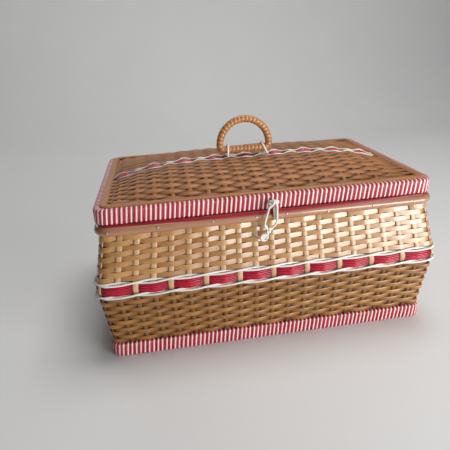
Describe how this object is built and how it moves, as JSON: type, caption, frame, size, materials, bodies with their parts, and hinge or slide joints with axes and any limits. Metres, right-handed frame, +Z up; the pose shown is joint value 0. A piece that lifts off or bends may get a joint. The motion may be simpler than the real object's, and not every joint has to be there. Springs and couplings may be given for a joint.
{
  "type": "sewing basket",
  "caption": "Rectangular wicker sewing basket with bulging woven walls, a hinged domed lid, a swing handle and a wire hasp.",
  "frame": {"origin": "middle of the underside, on the surface it stands on", "axes": "+Z up, front with the hasp faces -Y, +X to the right as seen from the front"},
  "size_m": [0.3894, 0.255, 0.2451],
  "materials": {
    "willow": "varnished woven reed, honey brown, half gloss",
    "cane": "varnished flat cane, pale tan, glossy",
    "varnished_pole": "smooth varnished cane, orange brown, glossy",
    "timber": "plain sawn wood, hidden under the binding",
    "card": "pressed board, hidden under satin",
    "red_lacing": "glossy crimson plastic strand",
    "white_lacing": "glossy cream white plastic cord",
    "white_wire": "white plastic-covered wire, glossy",
    "satin": "dark red satin lining"
  },
  "bodies": {
    "basket": {"base_frame": "timber", "base_wrap": "red_lacing", "floor_board": "card", "floor_pad": "satin", "wall_stakes": "willow", "lower_weavers": "willow", "belt_lacing": "red_lacing", "belt_twines": "white_lacing", "upper_weavers": "cane", "rim_pole": "varnished_pole", "wall_lining": "satin", "hinge_eyes": "white_wire", "hasp_catch": "white_wire"},
    "lid": {"lid_frame": "timber", "lid_wrap": "red_lacing", "lid_border_reed": "varnished_pole", "lid_board": "card", "lid_pad": "satin", "lid_stakes": "willow", "lid_weavers": "willow", "lid_lacing": "red_lacing", "lid_twines": "white_lacing", "handle_tie_left": "white_lacing", "handle_tie_right": "white_lacing", "hasp_staple": "white_wire", "hinge_staples": "white_wire"},
    "handle": {"handle_rod": "timber", "handle_wrap": "cane", "handle_bar_wrap": "cane"},
    "hasp": {"hasp_loop": "white_wire", "hasp_ring": "white_wire"}
  },
  "joints": [
    {"name": "lid_hinge", "type": "hinge", "parent": "basket", "child": "lid", "pos_m": [0, 0.1215, 0.1603], "axis": [-1, 0, 0], "range_deg": [0, 105]},
    {"name": "handle_swing", "type": "hinge", "parent": "lid", "child": "handle", "pos_m": [-0.007, -0.01, 0.20454], "axis": [1, 0, 0], "range_deg": [-85, 85]},
    {"name": "hasp_swing", "type": "hinge", "parent": "lid", "child": "hasp", "pos_m": [0.0008, -0.121, 0.1707], "axis": [-1, 0, 0], "range_deg": [0, 150]}
  ]
}
